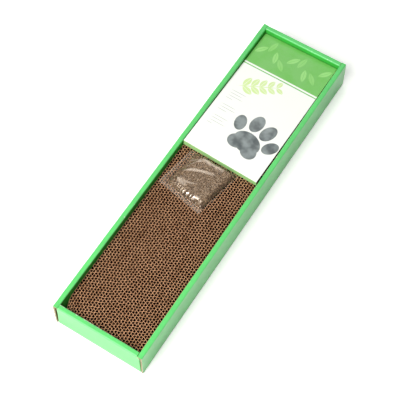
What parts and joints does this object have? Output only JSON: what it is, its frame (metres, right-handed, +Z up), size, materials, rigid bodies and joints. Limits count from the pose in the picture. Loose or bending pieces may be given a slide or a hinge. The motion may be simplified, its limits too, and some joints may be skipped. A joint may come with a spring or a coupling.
{
  "type": "cardboard cat scratcher",
  "caption": "Long shallow folded carton tray holding a block of upright corrugated strips for a cat to scratch, with a folded header card and a clear pouch of dried herb.",
  "frame": {"origin": "middle of the tray's underside, on the surface that it stands on", "axes": "+X across the tray to its right side, +Y along the tray to the end with the header card, +Z up"},
  "size_m": [0.124, 0.48, 0.046],
  "materials": {
    "tray_board": "satin",
    "tray_rim": "satin",
    "corrugated_strip": "matte",
    "card": "satin",
    "pouch_film": "gloss",
    "herb": "matte"
  },
  "bodies": {
    "tray": {"tray_floor": "tray_board", "left_outer_wall": "tray_board", "left_rim": "tray_rim", "left_inner_wall": "tray_board", "right_outer_wall": "tray_board", "right_rim": "tray_rim", "right_inner_wall": "tray_board", "front_outer_wall": "tray_board", "front_rim": "tray_rim", "front_inner_wall": "tray_board", "back_outer_wall": "tray_board", "back_rim": "tray_rim", "back_inner_wall": "tray_board", "front_left_tab": "tray_board", "front_right_tab": "tray_board", "back_left_tab": "tray_board", "back_right_tab": "tray_board"},
    "scratching_block": {"strip_01": "corrugated_strip", "strip_02": "corrugated_strip", "strip_03": "corrugated_strip", "strip_04": "corrugated_strip", "strip_05": "corrugated_strip", "strip_06": "corrugated_strip", "strip_07": "corrugated_strip", "strip_08": "corrugated_strip", "strip_09": "corrugated_strip", "strip_10": "corrugated_strip", "strip_11": "corrugated_strip", "strip_12": "corrugated_strip", "strip_13": "corrugated_strip", "strip_14": "corrugated_strip", "strip_15": "corrugated_strip", "strip_16": "corrugated_strip", "strip_17": "corrugated_strip", "strip_18": "corrugated_strip", "strip_19": "corrugated_strip", "strip_20": "corrugated_strip", "strip_21": "corrugated_strip", "strip_22": "corrugated_strip", "strip_23": "corrugated_strip", "strip_24": "corrugated_strip", "strip_25": "corrugated_strip", "strip_26": "corrugated_strip", "strip_27": "corrugated_strip", "strip_28": "corrugated_strip", "strip_29": "corrugated_strip", "strip_30": "corrugated_strip"},
    "card": {"header_card": "card"},
    "pouch": {"pouch_base_film": "pouch_film", "pouch_top_film": "pouch_film", "dried_herb": "herb"}
  },
  "joints": [
    {"name": "block_lift", "type": "slide", "parent": "tray", "child": "scratching_block", "axis": [0, 0, 1], "range_m": [0, 0.06]},
    {"name": "card_lift", "type": "slide", "parent": "scratching_block", "child": "card", "axis": [0, 0, 1], "range_m": [0, 0.04]},
    {"name": "pouch_lift", "type": "slide", "parent": "scratching_block", "child": "pouch", "axis": [0, 0, 1], "range_m": [0, 0.04]}
  ]
}
